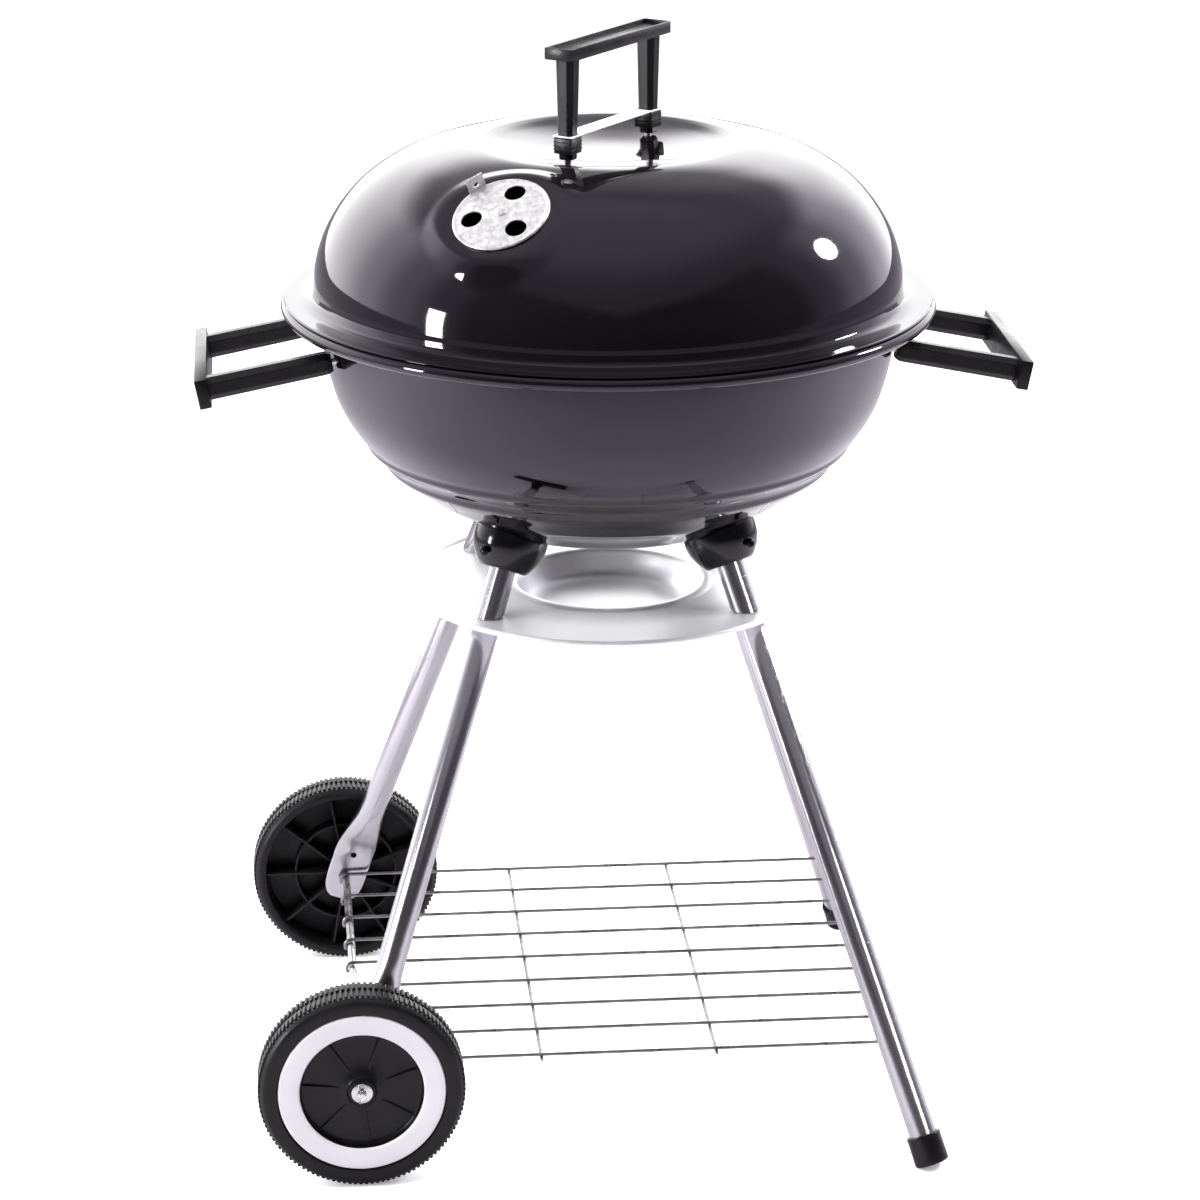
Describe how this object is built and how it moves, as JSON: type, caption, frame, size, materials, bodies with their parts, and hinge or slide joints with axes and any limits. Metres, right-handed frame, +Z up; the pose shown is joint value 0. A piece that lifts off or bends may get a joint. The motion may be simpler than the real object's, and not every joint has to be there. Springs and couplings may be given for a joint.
{
  "type": "kettle_charcoal_grill",
  "caption": "Kettle charcoal grill: round enamelled bowl and lift-off domed lid on four splayed tube legs, with two wheels, an ash tray, a wire rack and air dampers",
  "frame": {"origin": "On the ground under the middle of the kettle; z = 0 is the ground the two wheels and the two foot caps stand on.", "axes": "+Z is up along the kettle's own axis. +X points from the wheels to the plain feet. The axle runs along Y, and -Y is the front, the side with the lid damper."},
  "size_m": [0.595, 0.47, 0.783],
  "materials": {
    "enamel": "glossy black porcelain enamel on steel sheet",
    "black_plastic": "satin black moulded plastic",
    "gloss_black": "glossy black moulded plastic",
    "chrome_tube": "bright chrome-plated steel tube",
    "aluminium": "pressed aluminium, satin",
    "tray_steel": "bright pressed steel sheet",
    "wire": "zinc-plated drawn wire",
    "steel": "zinc-plated steel hardware",
    "tyre": "matt black moulded plastic wheel with a knobbed tread",
    "trim_white": "white ring on the wheel face",
    "grate_steel": "plated steel rod"
  },
  "bodies": {
    "stand": {"ash_damper_rivet": "aluminium", "ash_tray": "tray_steel", "axle": "steel", "axle_washer_front": "steel", "axle_washer_rear": "steel", "bowl": "enamel", "charcoal_grate": "grate_steel", "cooking_grate": "grate_steel", "cross_rod": "steel", "foot_cap_front": "black_plastic", "foot_cap_rear": "black_plastic", "grate_bracket_1": "steel", "grate_bracket_2": "steel", "grate_bracket_3": "steel", "leg_button_left_front": "steel", "leg_button_left_rear": "steel", "leg_button_right_front": "steel", "leg_button_right_rear": "steel", "leg_socket_left_front": "gloss_black", "leg_socket_left_rear": "gloss_black", "leg_socket_right_front": "gloss_black", "leg_socket_right_rear": "gloss_black", "lower_leg_left_front": "chrome_tube", "lower_leg_left_rear": "chrome_tube", "lower_leg_right_front": "chrome_tube", "lower_leg_right_rear": "chrome_tube", "side_bolt_left_front": "steel", "side_bolt_left_rear": "steel", "side_bolt_right_front": "steel", "side_bolt_right_rear": "steel", "side_handle_left": "black_plastic", "side_handle_right": "black_plastic", "socket_screw_left_front": "steel", "socket_screw_left_rear": "steel", "socket_screw_right_front": "steel", "socket_screw_right_rear": "steel", "split_pin_front": "steel", "split_pin_rear": "steel", "upper_leg_left_front": "chrome_tube", "upper_leg_left_rear": "chrome_tube", "upper_leg_right_front": "chrome_tube", "upper_leg_right_rear": "chrome_tube", "wire_rack": "wire"},
    "lid_body": {"lid": "enamel", "lid_handle": "black_plastic", "lid_handle_sleeve_front": "black_plastic", "lid_handle_sleeve_rear": "black_plastic", "lid_handle_bolt_front": "steel", "lid_handle_bolt_rear": "steel", "lid_handle_strap": "tray_steel", "lid_damper_rivet": "aluminium"},
    "lid_damper_body": {"lid_damper": "aluminium"},
    "ash_damper_body": {"ash_damper": "aluminium"},
    "wheel_front_body": {"wheel_front": "tyre", "wheel_trim_front": "trim_white"},
    "wheel_rear_body": {"wheel_rear": "tyre", "wheel_trim_rear": "trim_white"}
  },
  "joints": [
    {"name": "lid_lift", "type": "slide", "parent": "stand", "child": "lid_body", "axis": [0, 0, 1], "range_m": [0, 0.3]},
    {"name": "lid_damper_turn", "type": "hinge", "parent": "lid_body", "child": "lid_damper_body", "pos_m": [-0.08585, -0.13738, 0.6872], "axis": [-0.2808, -0.4494, 0.848], "range_deg": [-60, 60]},
    {"name": "ash_damper_turn", "type": "hinge", "parent": "stand", "child": "ash_damper_body", "pos_m": [0, 0, 0.43], "axis": [0, 0, 1], "range_deg": [-60, 60]},
    {"name": "wheel_front_spin", "type": "hinge", "parent": "stand", "child": "wheel_front_body", "pos_m": [-0.1935, -0.2007, 0.0736], "axis": [0, 1, 0], "continuous": true},
    {"name": "wheel_rear_spin", "type": "hinge", "parent": "stand", "child": "wheel_rear_body", "pos_m": [-0.1935, 0.2007, 0.0736], "axis": [0, 1, 0], "continuous": true}
  ]
}
